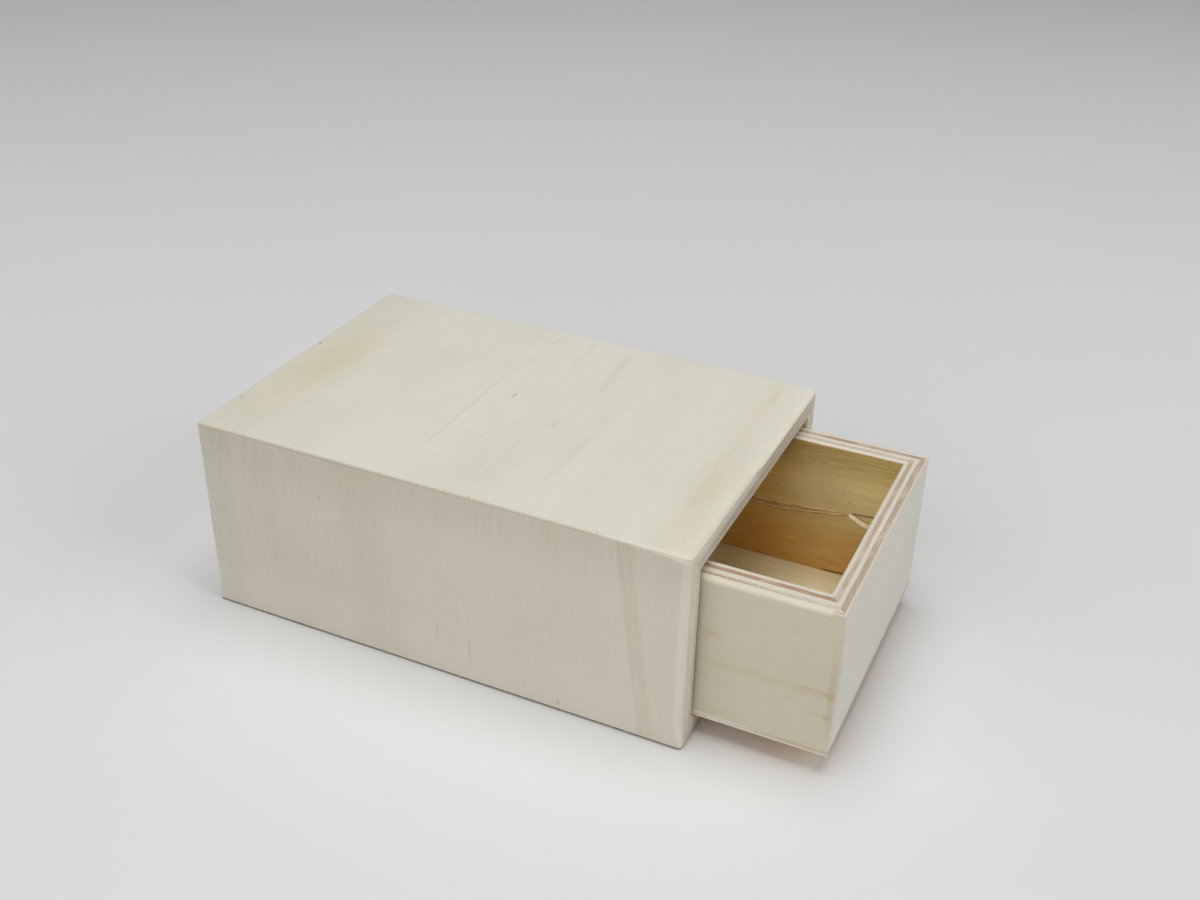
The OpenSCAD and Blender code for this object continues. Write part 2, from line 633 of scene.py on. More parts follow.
# Points of a panel closer than this are one, so that no face is a sliver where an edge is rounded
MERGE_WITHIN = 0.03
# A point of the drawer's walls this far inside the opening still lies on its side, by rounding
ON_SIDE = 1e-4


def stations(low: float, high: float, step: float, extra: tuple[float, ...] = ()) -> list[float]:
    """Places the loops of a panel along one direction.

    Args:
        low: where the panel starts.
        high: where it ends.
        step: spacing of the loops between the rounded ends.
        extra: further places that need a loop.
    Returns:
        The places in order, with both ends.
    """
    first = [low + grade for grade in EDGE_GRADES]
    last = [high - grade for grade in reversed(EDGE_GRADES)]
    count = max(1, round((last[0] - first[-1]) / step))
    middle = [first[-1] + (last[0] - first[-1]) * i / count for i in range(1, count)]
    return sorted({*first, *middle, *last, *extra})


def grid_block(places: list[list[float]]) -> bmesh.types.BMesh:
    """Makes a closed block whose loops lie at given places.

    Args:
        places: the places of the loops along X, Y and Z, with both ends.
    Returns:
        The block, in millimetres.
    """
    bm = bmesh.new()
    bmesh.ops.create_cube(bm, size=2.0)
    for axis, marks in enumerate(places):
        along = [edge for edge in bm.edges
                 if abs(edge.verts[0].co[axis] - edge.verts[1].co[axis]) > 1]
        bmesh.ops.subdivide_edges(bm, edges=along, cuts=len(marks) - 2)
    for vert in bm.verts:
        steps = [round((value + 1) / 2 * (len(marks) - 1)) for value, marks in zip(vert.co, places)]
        vert.co = [marks[step] for step, marks in zip(steps, places)]
    return bm


@dataclass(frozen=True)
class Box:
    """A box by its lowest and its highest corner in millimetres."""

    low: Vector
    high: Vector

    def inset(self, p: Vector, axis: int) -> float:
        """Gives how far inside the nearer face across an axis a point lies."""
        return min(p[axis] - self.low[axis], self.high[axis] - p[axis])

    def rounded(self, p: Vector, reach: Callable[[Vector, int, bool], float]) -> Vector:
        """Draws a point near the box's edges onto their rounding.

        Args:
            p: the point.
            reach: gives the rounding's reach at a point, from the face across an axis, the low one or not.
        Returns:
            The rounded point.
        """
        low, high = self.low, self.high
        sides = [p[i] - low[i] < high[i] - p[i] for i in range(3)]
        reaches = [reach(p, i, sides[i]) for i in range(3)]
        insets = [p[i] - low[i] if sides[i] else high[i] - p[i] for i in range(3)]
        outside = [max(0.0, 1 - inset / radius) for inset, radius in zip(insets, reaches)]
        length = math.hypot(*outside)
        if length <= 1:
            return p
        moved = [radius * (1 - part / length) if part > 0 else inset
                 for inset, radius, part in zip(insets, reaches, outside)]
        return Vector([low[i] + moved[i] if sides[i] else high[i] - moved[i] for i in range(3)])

    def evenly_rounded(self, radius: float, p: Vector) -> Vector:
        """Draws a point near any of the box's edges onto the same rounding."""
        return self.rounded(p, lambda point, axis, low_side: radius)

    def mitred(self, p: Vector, end: int, thick: int, slope: float, run: float) -> Vector:
        """Draws the end of a board of the box back to its mitre.

        Args:
            p: a point of the square board.
            end: number of the axis along which the board ends.
            thick: number of the axis across its faces.
            slope: how far the mitre runs along the board for each millimetre of depth.
            run: how far from its end the board is drawn.
        Returns:
            The moved point.
        """
        share = max(0.0, 1 - self.inset(p, end) / run) if run > 0 else 0.0
        shift = self.inset(p, thick) * slope * share
        moved = p.copy()
        moved[end] += shift if p[end] < (self.low[end] + self.high[end]) / 2 else -shift
        return moved

    def eased(self, p: Vector, axes: tuple[int, int], behind: float, back: Vector, radius: float,
              slack: float = 0.0) -> Vector:
        """Breaks the sharp edge of walls that stand round the box, where they end.

        Args:
            p: a point of the walls.
            axes: numbers of the axes across them.
            behind: how far the point lies behind their end.
            back: the way behind that end.
            radius: radius of the broken edge.
            slack: how far inside the box a point on its side may lie.
        Returns:
            The moved point.
        """
        gaps = [gap for i in axes for gap in (self.low[i] - p[i], p[i] - self.high[i])]
        ways = [way for i in axes for way in (-AXES[i], AXES[i])]
        gap = max(gaps)
        away = [max(0.0, 1 - gap / radius), max(0.0, 1 - behind / radius)]
        length = math.hypot(*away)
        if gap < -slack or length <= 1 or not all(away):
            return p
        aside, deeper = (radius * (part - part / length) for part in away)
        return p + back * deeper + ways[gaps.index(gap)] * aside


def finish_mesh(bm: bmesh.types.BMesh, name: str, sharp: float = 32.0) -> bpy.types.Object:
    """Turns a finished bmesh in millimetres into an object in metres.

    Args:
        bm: the mesh, which is freed.
        name: name of the object.
        sharp: angle in degrees above which an edge is crisp.
    Returns:
        The object at the origin, with its place in its mesh.
    """
    bmesh.ops.scale(bm, vec=(MM,) * 3, verts=bm.verts)
    mesh = bpy.data.meshes.new(name)
    bm.to_mesh(mesh)
    bm.free()
    mesh.shade_smooth()
    mesh.set_sharp_from_angle(angle=math.radians(sharp))
    return put_in_scene(name, mesh)


@dataclass
class Panel:
    """One plywood panel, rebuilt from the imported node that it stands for.

    Its ends list the axes along which it meets its neighbours in glued joints. Mitred ends reach
    the outside of the whole body, which is given as around.
    """

    node: str
    body: Body
    slot: Slot
    wood: Plywood
    outward: Vector
    grain: Vector
    ends: tuple[int, ...] = ()
    marks: tuple[Mark, ...] = ()
    seed: float = 0.0
    around: Box | None = None
    step: float = 2.0
    extra: dict[int, tuple[float, ...]] = field(default_factory=dict)
    # Loops this near to a glue line keep the step between two plies crisp
    crisp: float = 0.04
    # How far a cut ply sinks, its least share and swing, and the length of a swing
    ridge: float = 0.07
    torn: Pair = (0.6, 0.8)
    torn_length: float = 1.7
    # How deep the faces are dished, and how long the dishes are
    hollow: float = 0.05
    hollow_length: float = 22.0

    def lie(self) -> Lie:
        """Works out how the panel lies from its packed box.

        Returns:
            How it lies.
        """
        low, high = node_box(self.node)
        axis = self.thick_axis()
        face = high[axis] if self.outward[axis] > 0 else -low[axis]
        return Lie(self.outward, self.grain, face, high[axis] - low[axis])

    def thick_axis(self) -> int:
        """Gives the number of the axis across the panel's faces."""
        return max(range(3), key=lambda i: abs(self.outward[i]))

    def ply_stations(self) -> list[float]:
        """Places the loops through the thickness, close on both sides of each glue line.

        Returns:
            Their places across the faces, in order.
        """
        low, high = node_box(self.node)
        axis = self.thick_axis()
        thickness = self.lie().thickness
        found = {0.0, thickness}
        for start, end in self.wood.depths(thickness):
            third = (end - start) / 3
            found |= {start + self.crisp, start + third, end - third, end - self.crisp}
        return sorted(high[axis] - d if self.outward[axis] > 0 else low[axis] + d for d in found)

    def block(self) -> bmesh.types.BMesh:
        """Makes the panel's square block with its loops and marks its glued ends.

        Returns:
            The block in millimetres.
        """
        low, high = node_box(self.node)
        if self.around:
            for i in self.ends:
                low[i], high[i] = self.around.low[i], self.around.high[i]
        places = [stations(low[i], high[i], self.step, self.extra.get(i, ())) for i in range(3)]
        places[self.thick_axis()] = self.ply_stations()
        bm = grid_block(places)
        seam = bm.verts.layers.float.new(SEAM)
        for vert in bm.verts:
            insets = [min(vert.co[i] - low[i], high[i] - vert.co[i]) for i in self.ends]
            vert[seam] = max(0.0, 1 - min(insets, default=SEAM_REACH) / SEAM_REACH)
        return bm

    def build(self, *warps: Warp) -> bpy.types.Object:
        """Shapes, weathers and dresses the panel.

        Args:
            warps: each moves a point of the square block, one after the other.
        Returns:
            The finished object, riding on its body in its node's place.
        """
        bm = self.block()
        for warp in warps:
            for vert in bm.verts:
                vert.co = warp(vert.co.copy())
        bmesh.ops.remove_doubles(bm, verts=bm.verts, dist=MERGE_WITHIN)
        self.weather(bm)
        made = finish_mesh(bm, f"{self.node}_panel")
        made.data.materials.append(PlywoodMaterial(self).build())
        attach(made, self.body.value)
        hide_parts(self.node)
        log.info("%s: %d faces", made.name, len(made.data.polygons))
        return made

    def weather(self, bm: bmesh.types.BMesh) -> None:
        """Sinks the softer plies where they are cut across and dishes the faces by a hair.

        Args:
            bm: the shaped panel.
        """
        bm.normal_update()
        lie = self.lie()
        across = self.outward.cross(self.grain)
        seam = bm.verts.layers.float[SEAM]
        normals = {vert: vert.normal.copy() for vert in bm.verts if vert[seam] < 1}
        least, swing = self.torn
        for vert, normal in normals.items():
            ply = self.wood.ply_at(lie.depth(vert.co), lie.thickness)
            fibre = across if ply.crosswise else self.grain
            cut = smoothstep(CUT_FROM, CUT_FULL, abs(normal.dot(fibre)))
            dish = self.hollow * (0.5 + 0.5 * wander(vert.co, self.hollow_length, self.seed))
            dish *= abs(normal.dot(self.outward))
            torn = least + swing * abs(wander(vert.co, self.torn_length, self.seed))
            vert.co -= normal * (cut * self.ridge * torn + dish) * smoothstep(0, 1, 1 - vert[seam])


# The case


# Pale poplar that gives the eye a nearly plain, chalky case. The top's inner plies are darker
# than the sides', and its face is bleached most.
TOP_WOOD = Plywood(
    "raw_poplar_plywood_top",
    crossed((1.15, "#e2dccc", "#dcd5c4"), (1.20, "#dad3c2", "#cfc6ba"), (1.10, "#d3cabb", "#d2c9b8"),
            (1.20, "#d8d0bf", "#cbc1b5"), (1.15, "#d5cebf", "#d2c9b8")),
    outer_skin="#dfdccf", inner_skin="#eeddb2",
    figure=Figure(bands=0.12, clouds=0.14, silk=0.028, threads=0.03, flecks=0.05))
PANEL_WOOD = Plywood(
    "raw_poplar_plywood_panel",
    crossed((1.15, "#e0dacb", "#d9d2c2"), (1.20, "#dcd5c6", "#d8cfc2"), (1.10, "#ded8c8", "#d6cebe"),
            (1.20, "#dad3c3", "#d5ccbd"), (1.15, "#e4decf", "#d6cebe")),
    outer_skin="#d9d3c5", inner_skin="#eeddb2",
    figure=Figure(silk=0.025, threads=0.04, warm_tone="#c6ba96"))


@dataclass
class Case:
    """The outer case: four mitred panels, closed by a fifth at the back.

    Its long arrises are well rounded only near the mouth, and there less on the right. Its foot
    is left nearly sharp, and lies a hair off the table along its edge.
    """

    mouth_round: float = 3.0
    back_round: float = 0.6
    arris: float = 0.45
    arris_at_mouth: float = 2.1
    arris_run: float = 6.0
    right_share: float = 0.4
    foot_arris: float = 0.15
    foot_gap: float = 0.22
    foot_run: float = 2.0
    foot_share: float = 0.35
    foot_height: float = 9.0
    inner_ease: float = 0.35
    back_ease: float = 0.3
    unevenness: float = 0.15
    uneven_length: float = 14.0
    mitre_run: float = 12.0

    def __post_init__(self) -> None:
        """Takes the case's outside, its inside and its panels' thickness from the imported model."""
        left, right = node_box("case_left_side"), node_box("case_right_side")
        bottom, top = node_box("case_bottom"), node_box("case_top")
        self.low = Vector((left[0].x, left[0].y, bottom[0].z))
        self.high = Vector((right[1].x, right[1].y, top[1].z))
        self.ply = top[1].z - top[0].z
        walls = Vector((1, 0, 1)) * self.ply
        self.outside = Box(self.low, self.high)
        self.inside = Box(self.low + walls, self.high - walls)

    def mitre(self, end: int, thick: int, p: Vector) -> Vector:
        """Cuts the ends of a panel along one axis to mitres of 45 degrees."""
        return self.outside.mitred(p, end, thick, 1.0, self.mitre_run)

    def reach(self, p: Vector, axis: int, low_side: bool) -> float:
        """Gives how far the rounding reaches from one outer face.

        Args:
            p: a point of the case.
            axis: number of the axis across the face.
            low_side: whether it is the face on the low side.
        Returns:
            The reach in millimetres, uneven as hand sanding leaves it.
        """
        uneven = 1 + self.unevenness * wander(p, self.uneven_length, axis)
        if axis == 2 and low_side:
            return self.foot_arris
        if abs(p.x) > self.high.x - self.ply:
            rise = smoothstep(0, self.foot_height, p.z - self.low.z)
            uneven *= self.foot_share + (1 - self.foot_share) * rise
        if axis == 1:
            return (self.mouth_round if low_side else self.back_round) * uneven
        grown = self.arris_at_mouth * math.exp(-(p.y - self.low.y) / self.arris_run)
        return (self.arris + (grown if p.x < 0 else self.right_share * grown)) * uneven

    def sand(self, p: Vector) -> Vector:
        """Rounds the outer edges of the case."""
        return self.outside.rounded(p, self.reach)

    def ease_mouth(self, p: Vector) -> Vector:
        """Breaks the sharp inner edge of the mouth."""
        return self.inside.eased(p, (0, 2), p.y - self.low.y, Y, self.inner_ease)

    def lift_foot(self, p: Vector) -> Vector:
        """Raises the lower outer edges by a hair, as a cupped board stands on its middle.

        Args:
            p: a point of the case.
        Returns:
            The moved point.
        """
        share = 1 - smoothstep(0, self.foot_run, min(self.outside.inset(p, 0), p.y - self.low.y))
        share *= 1 - smoothstep(0, self.foot_run, p.z - self.low.z)
        return p + Z * self.foot_gap * share

    def panel(self, node: str, outward: Vector, grain: Vector, ends: tuple[int, ...], seed: float,
              marks: tuple[Mark, ...] = (), wood: Plywood = PANEL_WOOD) -> Panel:
        """Describes one of the case's mitred panels."""
        return Panel(node, Body.CASE, Slot.CASE, wood, outward, grain, ends, marks, seed, self.outside)

    def build(self) -> list[bpy.types.Object]:
        """Builds the five panels.

        Returns:
            The finished panels.
        """
        dressing = (self.sand, self.ease_mouth, self.lift_foot)
        level = (partial(self.mitre, 0, 2), *dressing)
        side = (partial(self.mitre, 2, 0), *dressing)
        back = Panel("case_back", Body.CASE, Slot.CASE, PANEL_WOOD, Y, X, (0, 2), (), 53)
        return [
            self.panel("case_top", Z, X, (0,), 11, self.top_marks(), TOP_WOOD).build(*level),
            self.panel("case_bottom", -Z, X, (0,), 23, self.bottom_marks()).build(*level),
            self.panel("case_left_side", -X, Z, (2,), 37, self.left_marks()).build(*side),
            self.panel("case_right_side", X, Z, (2,), 41).build(*side),
            back.build(partial(Box(*node_box("case_back")).evenly_rounded, self.back_ease)),
        ]

    def top_marks(self) -> tuple[Mark, ...]:
        """Lists the marks on the top panel: painted shade that darkens its rear, soft heartwood bands,
        streaks and a small pin knot.
        """
        z = self.high.z
        return (
            # Painted shade: the top darker towards its rear, where less light falls
            Mark((0, 66, z), (70, 32), "#c9c4b0", 0.42, core=(0.8, 0.1)),
            Mark((-6, 57, z), (42, 14), "#cdb984", 0.23, core=(0.1, 0.0)),
            Mark((2, 55, z), (22, 11), "#cab47e", 0.20, core=(0.1, 0.0)),
            Mark((self.low.x, 12, z), (0.8, 62), "#b3a890", 0.50, core=(0.3, 0.85)),
            Mark((-8, 10.3, z), (37, 0.9), "#cdb68a", 0.26, bend=-1.5),
            Mark((30, 8, z), (20, 0.9), "#cdb68a", 0.20, tilt=6),
            Mark((-22, 0, z), (19, 0.9), "#cfbd96", 0.18),
            Mark((35, -3, z), (11, 1.1), "#c2a992", 0.20),
            Mark((-27, -9, z), (18, 1.0), "#cfbd96", 0.22),
            Mark((8, -9, z), (9, 1.0), "#cfbd96", 0.15),
            Mark((28, -15, z), (18, 2.4), "#c9b08c", 0.26, tilt=-5),
            Mark((-8, -24, z), (46, 1.8), "#d0bd92", 0.20, tilt=3),
            Mark((-24, -59, z), (34, 8), "#d0bc8a", 0.28, core=(0.3, 0.0)),
            Mark((8, -58, z), (44, 5), "#cfb988", 0.16, core=(0.4, 0.0)),
            Mark((0, -57, z), (46, 0.8), "#c7ab78", 0.10),
            Mark((36, -57.5, z), (9, 1.6), "#c7ab78", 0.22),
            Mark((4.5, 3, z), (1.7, 0.6), "#a98a58", 0.65),
            Mark((7, 65, z), (0.9, 0.5), "#7a4e30", 0.8),
            Mark((-28, 64.5, z), (0.5, 0.5), "#4a3a30", 0.8),
            Mark((-44, -11, z), (1.0, 0.5), "#a06a3c", 0.8),
            Mark((-43, -43, z), (0.5, 0.4), "#5a4a3c", 0.6),
            Mark((-4.5, -13, z), (2.5, 1.6), "#cbb286", 0.30),
        )

    def bottom_marks(self) -> tuple[Mark, ...]:
        """Lists the marks on the bottom panel: a bead of old glue at the mouth and painted contact shadow
        along its foot there.
        """
        return (
            Mark((-36.8, self.low.y, self.ply - 0.4), (0.6, 1.2), "#8a5a30", 0.85, reach=0.6),
            # Painted shadow: the foot darkened at the mouth, where the board meets the table
            Mark((0, self.low.y, 0), (46, 3), "#84694c", 0.7, core=(0.9, 0.5), reach=0.7),
        )

    def left_marks(self) -> tuple[Mark, ...]:
        """Lists the marks on the left side.

        Returns:
            A painted contact shadow along the foot, painted light from the table on the lower part, a soiled
            arris, a mineral streak, olive bands and flecks, painted warm shade in the gap on the inner face
            just inside the mouth, and below the top four dark sanding lines with a pale one beside each.
        """
        x, top = self.low.x, self.high.z
        streaks = (
            Mark((x, 76, 27), (80, 130), "#b3b0a0", 0.36, core=(0.9, 0.0)),
            Mark((x, 0, top), (17, 90), "#aea68f", 0.26, core=(0.1, 0.95)),
            Mark((x, 12, top), (0.9, 62), "#a89c84", 0.50, core=(0.3, 0.85)),
            # Painted light: the lower part of the side paler, standing in for light bounced off the table
            Mark((x, 20, 5), (14, 84), "#e8e0d2", 0.25, core=(0.1, 0.9)),
            # Painted shadow: the lowest part of the side dark, where it meets the table
            Mark((x, 0, 0), (0.85, 80), "#3a2417", 1.0, core=(0.65, 0.95), reach=2.2),
            Mark((x, -53.8, 27), (36, 2.6), "#b9aa82", 0.24, tilt=-7.6, core=(0.7, 0.2)),
            Mark((x, -51.9, 27), (36, 0.9), "#9a8c68", 0.14, tilt=-7.4, core=(0.7, 0.2)),
            Mark((x, 17, 26), (44, 9), "#b5ab88", 0.13, tilt=-8, core=(0.4, 0.2)),
            Mark((x, 47, 36), (28, 5.5), "#b5ab88", 0.13, tilt=-6, core=(0.4, 0.2)),
            Mark((x, 61, 26), (60, 6), "#a9a99f", 0.16, core=(0.6, 0.2)),
            # Painted shade: the inner face just inside the mouth warmer and darker, where the gap beside the
            # drawer is in shade
            Mark((x + self.ply, -61, 27), (30, 7), "#c8924c", 0.6, core=(0.9, 0.6)),
            Mark((x, -10, 10), (5, 0.35), "#8d8062", 0.35),
            Mark((x, -7, 19), (2.2, 0.3), "#8d8062", 0.35),
            Mark((x, -1, 12.5), (4.5, 0.35), "#8d8062", 0.35),
            Mark((x, 31, 42), (1.2, 0.4), "#7c6a50", 0.3),
            Mark((x, -34, 2.5), (1.0, 0.4), "#7c6a50", 0.5),
        )
        sanding = ((0.9, 0.2, "#9c8f78", 0.24), (1.3, 0.22, "#ece7d9", 0.28))
        return streaks + tuple(
            Mark((x, 30 - 2 * i, top - drop - 0.8 * i), (half, 34 - 5 * i), tone, strength)
            for drop, half, tone, strength in sanding for i in range(4))


# The drawer


# The drawer's walls have redder core veneers than the case, and their inner faces have yellowed. That gives
# the eye a rim of pale and brown stripes round a yellowed inside, deepened to amber further in by painted
# warm shade.
YELLOWED = Figure(bands=0.20, clouds=0.18, silk=0.11, threads=0.12, flecks=0.24,
                  warm_tone="#cda05a", grey_tone="#c2b081", dark_tone="#84602e")
WALL_FIGURE = Figure(voids=0.7, dark_tone="#85604a")
LEFT_PLIES = crossed(
    (1.45, "#dcd5c1", "#d6cab4"), (1.20, "#dcd3c4", "#d0c4b5"), (1.35, "#dad4c4", "#d6cab4"),
    (1.35, "#dccfbe", "#b5947b"), (1.25, "#dcd6c7", "#d6cab4"))
RIGHT_PLIES = crossed(
    (1.41, "#e0dacb", "#d6cab4"), (1.41, "#dccfbe", "#b29a84"), (1.01, "#e3dccb", "#d6cab4"),
    (1.41, "#dcd3c4", "#cdc1b2"), (1.36, "#e2dccc", "#d6cab4"))
END_PLIES = crossed(
    (0.66, "#d6d0be", "#d6cab4"), (1.30, "#d8cbbb", "#b8a795"), (1.00, "#d9d5c7", "#d6cab4"),
    (1.06, "#dccfbe", "#c0a990"), (1.08, "#d7d4c5", "#d6cab4"))
LEFT_WOOD, RIGHT_WOOD, END_WOOD = (
    Plywood(f"raw_poplar_plywood_drawer_{place}", plies, skin, "#efdc9f", WALL_FIGURE, YELLOWED,
            seam_strength=0.05)
    for place, plies, skin in (("left", LEFT_PLIES, "#d3ccb7"), ("right", RIGHT_PLIES, "#d3ccb7"),
                               ("end", END_PLIES, "#e1ded4")))
# A thin board of three plies, which gives the eye a pale, lively floor inside an amber box
FLOOR_WOOD = Plywood(
    "raw_poplar_plywood_floor",
    crossed((0.5, "#e5dfcf", "#e6dfd1"), (0.6, "#ddd2c6", "#dccfc5"), (0.5, "#e5dfcf", "#e6dfd1")),
    outer_skin="#e4ad5a", inner_skin="#f5e8c0",
    inner_figure=Figure(bands=0.2, clouds=0.15, silk=0.06, threads=0.2, flecks=0.12,
                        warm_tone="#d3b074", grey_tone="#c9ba94", dark_tone="#8a6436"))


@dataclass
class Drawer:
    """The drawer: four mitred walls on a thin board.

    The upper edges of the left side and the front are well rounded, but for their corner. Each
    pair below front_round says where that rounding sets in and is full, or starts to end and ends.
    """

    left_round: float = 1.3
    front_round: float = 1.1
    front_from_left: Pair = (2.0, 5.0)
    front_to_back: Pair = (2.0, 4.0)
    front_up: Pair = (-4.0, -2.0)
    rim_round: float = 0.55
    upright_round: float = 0.5
    corner_width: float = 4.0
    crisp_length: float = 2.9
    crisp_round: float = 0.2
    crisp_step: float = 0.04
    inner_ease: float = 0.3
    board_ease: float = 0.3
    unevenness: float = 0.2
    uneven_length: float = 11.0
    uneven_shift: int = 3
    mitre_run: float = 2.0
    wall_step: float = 1.6
    board_step: float = 2.2
    ridge: float = 0.09

    def __post_init__(self) -> None:
        """Takes the drawer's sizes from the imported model."""
        self.low, floor_high = node_box("drawer_bottom")
        front_low, front_high = node_box("drawer_front")
        side_low, side_high = node_box("drawer_left_side")
        self.high = Vector((floor_high.x, floor_high.y, front_high.z))
        self.wall_low = front_low.z
        self.side_ply = side_high.x - side_low.x
        self.end_ply = front_high.y - front_low.y
        walls = Vector((self.side_ply, self.end_ply, 0))
        self.outside = Box(self.low, self.high)
        self.inside = Box(self.low + walls, self.high - walls)

    def mitre(self, end: int, thick: int, slope: float, p: Vector) -> Vector:
        """Cuts the ends of a wall along one axis to mitres, drawn less far near its outer face."""
        return self.outside.mitred(p, end, thick, slope, self.mitre_run * self.outside.inset(p, thick))

    def reach(self, p: Vector, axis: int, low_side: bool) -> float:
        """Gives how far the rounding reaches from one outer face.

        Args:
            p: a point of the drawer.
            axis: number of the axis across the face.
            low_side: whether it is the face on the low side.
        Returns:
            The reach in millimetres.
        """
        uneven = 1 + self.unevenness * wander(p, self.uneven_length, axis + self.uneven_shift)
        behind, drop = p.y - self.low.y, p.z - self.high.z
        upper = axis == 2 and not low_side
        upper_left = p.x - self.low.x < self.corner_width and p.z > (self.low.z + self.high.z) / 2
        if upper_left and (upper or (axis == 0 and low_side)):
            return self.crisp_round if behind < self.crisp_length else self.left_round * uneven
        usual = self.rim_round if upper else self.upright_round
        if upper or (axis == 1 and low_side):
            near = smoothstep(*self.front_from_left, p.x - self.low.x)
            near *= 1 - smoothstep(*self.front_to_back, behind)
            usual += (self.front_round - usual) * near * smoothstep(*self.front_up, drop)
        return usual * uneven

    def sand(self, p: Vector) -> Vector:
        """Rounds the outer edges of the drawer."""
        return self.outside.rounded(p, self.reach)

    def ease_rim(self, p: Vector) -> Vector:
        """Breaks the sharp inner edge along the top of the walls."""
        return self.inside.eased(p, (0, 1), self.high.z - p.z, -Z, self.inner_ease, ON_SIDE)

    def wall(self, node: str, wood: Plywood, outward: Vector, grain: Vector, end: int, seed: float,
             marks: tuple[Mark, ...] = ()) -> Panel:
        """Describes one of the drawer's walls.

        Args:
            node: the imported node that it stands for.
            wood: its plywood.
            outward: the way its outer face looks.
            grain: the way of its face grain.
            end: number of the axis along which it ends in mitres.
            seed: sets its figure apart.
            marks: what is on it.
        Returns:
            The wall.
        """
        corner = self.low.y + self.crisp_length
        steps = {1: (corner - self.crisp_step, corner + self.crisp_step)} if end == 1 else {}
        return Panel(node, Body.DRAWER, Slot.DRAWER, wood, outward, grain, (end,), marks, seed,
                     self.outside, self.wall_step, steps, ridge=self.ridge)

    def build(self) -> list[bpy.types.Object]:
        """Builds the four walls and the board under them.

        Returns:
            The finished panels.
        """
        ends = (partial(self.mitre, 0, 1, self.side_ply / self.end_ply), self.sand, self.ease_rim)
        sides = (partial(self.mitre, 1, 0, self.end_ply / self.side_ply), self.sand, self.ease_rim)
        # Painted shade: the board's inner face darker near the front wall, which shades it
        front_inside = (18, self.low.y + self.end_ply, self.wall_low)
        shade = Mark(front_inside, (20, 70), "#b9a87e", 0.60, core=(0.3, 0.9))
        board = Panel("drawer_bottom", Body.DRAWER, Slot.FLOOR, FLOOR_WOOD, -Z, Y, (), (shade,), 97,
                      step=self.board_step)
        return [
            self.wall("drawer_front", END_WOOD, -Y, X, 0, 61, self.front_marks()).build(*ends),
            self.wall("drawer_back", END_WOOD, Y, X, 0, 67, self.back_marks()).build(*ends),
            self.wall("drawer_left_side", LEFT_WOOD, -X, Y, 1, 71, self.left_marks()).build(*sides),
            self.wall("drawer_right_side", RIGHT_WOOD, X, Y, 1, 83, self.right_marks()).build(*sides),
            board.build(partial(Box(*node_box("drawer_bottom")).evenly_rounded, self.board_ease)),
        ]

    def front_marks(self) -> tuple[Mark, ...]:
        """Lists the marks on the front wall: a pin hole and a tanned left end."""
        y = self.low.y
        return (
            Mark((-5, y, 17.5), (0.5, 0.4), "#5a4632", 0.85),
            Mark((-36.8, y, 26), (5, 24), "#b79c74", 0.3),
        )

    def back_marks(self) -> tuple[Mark, ...]:
        """Lists the painted amber shade on the back wall's inner face, which lies in the case's shade."""
        y = self.high.y - self.end_ply
        return (Mark((0, y, 26), (60, 60), "#e6a850", 0.7, core=(0.9, 0.9), reach=0.2),)

    def painted_amber_shade(self, x: float) -> Mark:
        """Gives painted amber shade on a side's inner face at x behind its first centimetres, where the
        inside lies in shade warmed by light bounced off the wood.
        """
        return Mark((x, -20, 26), (57, 60), "#e6a850", 0.75, core=(0.55, 0.9), reach=0.2)

    def left_marks(self) -> tuple[Mark, ...]:
        """Lists the marks on the left wall.

        Returns:
            Streaks and flecks on its outer face, painted amber shade on its inner one, and on its upper edge
            two darker stretches of core veneer and a bead of glue at the corner.
        """
        x, top = self.low.x, self.high.z
        return (
            Mark((x, -69, 31), (3.0, 1.3), "#c99a62", 0.4),
            Mark((x, -83, 23), (24, 1.7), "#c9b07c", 0.32),
            Mark((x, -94, 23.5), (7, 1.2), "#c4a468", 0.35),
            Mark((x, -86, 16), (1.4, 0.4), "#8b6f45", 0.15),
            Mark((x, -73, 9), (6, 2), "#cdb48a", 0.3),
            Mark((x, -98, 24), (1.6, 17), "#b99a62", 0.35),
            Mark((x, -97.3, 17), (1.8, 1.2), "#b08a52", 0.35),
            Mark((x, -97.3, 23), (1.8, 1.4), "#b08a52", 0.35),
            self.painted_amber_shade(x + self.side_ply),
            Mark((x + 2.0, -70, top), (9, 1.2), "#a5795a", 0.75, core=(0.3, 0.5), reach=0.36),
            Mark((x + 2.0, -84, top), (11, 1.2), "#b58c70", 0.45, core=(0.3, 0.5), reach=0.28),
            Mark((x + 0.62, -97.1, top), (1.3, 0.5), "#b08457", 0.85, core=(0.75, 0.5), reach=0.22),
        )

